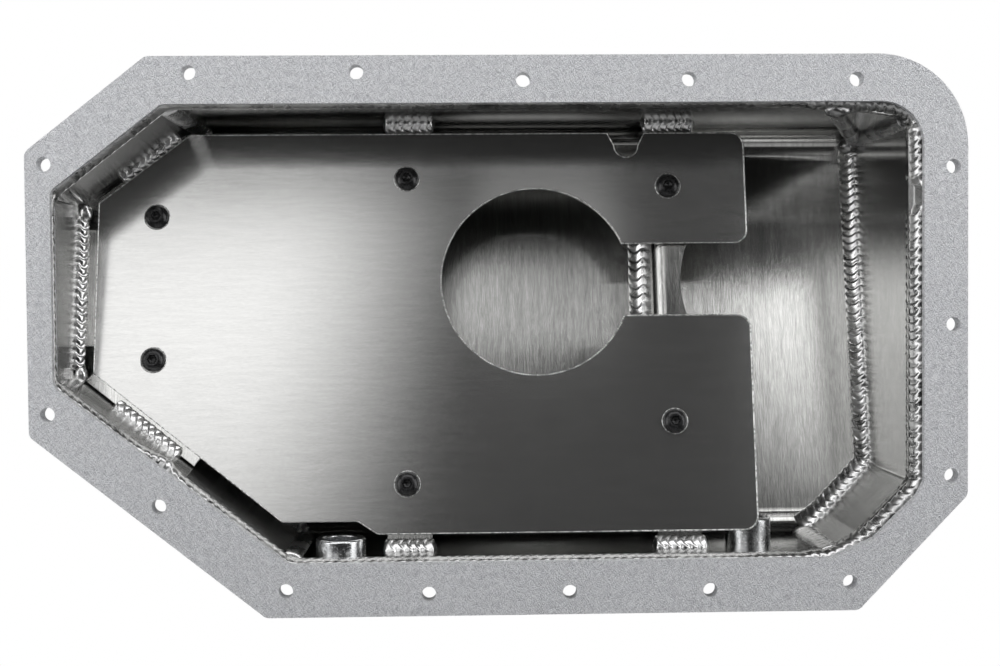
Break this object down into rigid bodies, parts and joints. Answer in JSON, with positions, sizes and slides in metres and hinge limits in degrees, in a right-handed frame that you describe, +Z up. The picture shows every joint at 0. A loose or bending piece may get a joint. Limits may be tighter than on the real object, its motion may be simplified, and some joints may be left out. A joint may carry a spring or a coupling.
{
  "type": "engine oil pan",
  "caption": "Shallow welded aluminium oil pan with a bolt flange, windage tray, sump baffle, drain and hose bungs.",
  "frame": {"origin": "middle of the flange's top face, which meets the engine block", "axes": "+Z up to the engine, +X along the pan's length towards its open sump end, +Y towards its deeper side"},
  "size_m": [0.455, 0.271, 0.1268],
  "materials": {
    "flange_plate": "machined, fine random sanded finish",
    "folded_sheet": "mill finish with drawn grain",
    "tray_sheet": "brushed lengthways",
    "weld_metal": "bright rippled weld",
    "turned_bungs": "turned",
    "black_screws": "black oxide",
    "plated_nuts": "zinc plated",
    "plated_plug": "zinc plated",
    "soft_washer": "plain"
  },
  "bodies": {
    "root": {"mounting_flange": "flange_plate", "main_shell": "folded_sheet", "left_end_wall": "folded_sheet", "right_end_wall": "folded_sheet", "corner_panel": "folded_sheet", "windage_tray": "tray_sheet", "rear_left_bracket": "folded_sheet", "front_left_bracket": "folded_sheet", "rear_right_bracket": "folded_sheet", "front_right_bracket": "folded_sheet", "left_ledge": "folded_sheet", "upper_ledge": "folded_sheet", "lower_ledge": "folded_sheet", "sump_baffle": "folded_sheet", "tray_screws": "black_screws", "tray_nuts": "plated_nuts", "return_bung": "turned_bungs", "sensor_bung": "turned_bungs", "drain_bung": "turned_bungs", "drain_washer": "soft_washer", "drain_plug": "plated_plug", "flange_weld": "weld_metal", "outer_flange_weld": "weld_metal", "right_end_weld": "weld_metal", "corner_weld": "weld_metal", "left_end_weld": "weld_metal", "outer_seam_welds": "weld_metal", "baffle_weld": "weld_metal", "support_welds": "weld_metal", "bung_welds": "weld_metal"}
  },
  "joints": []
}
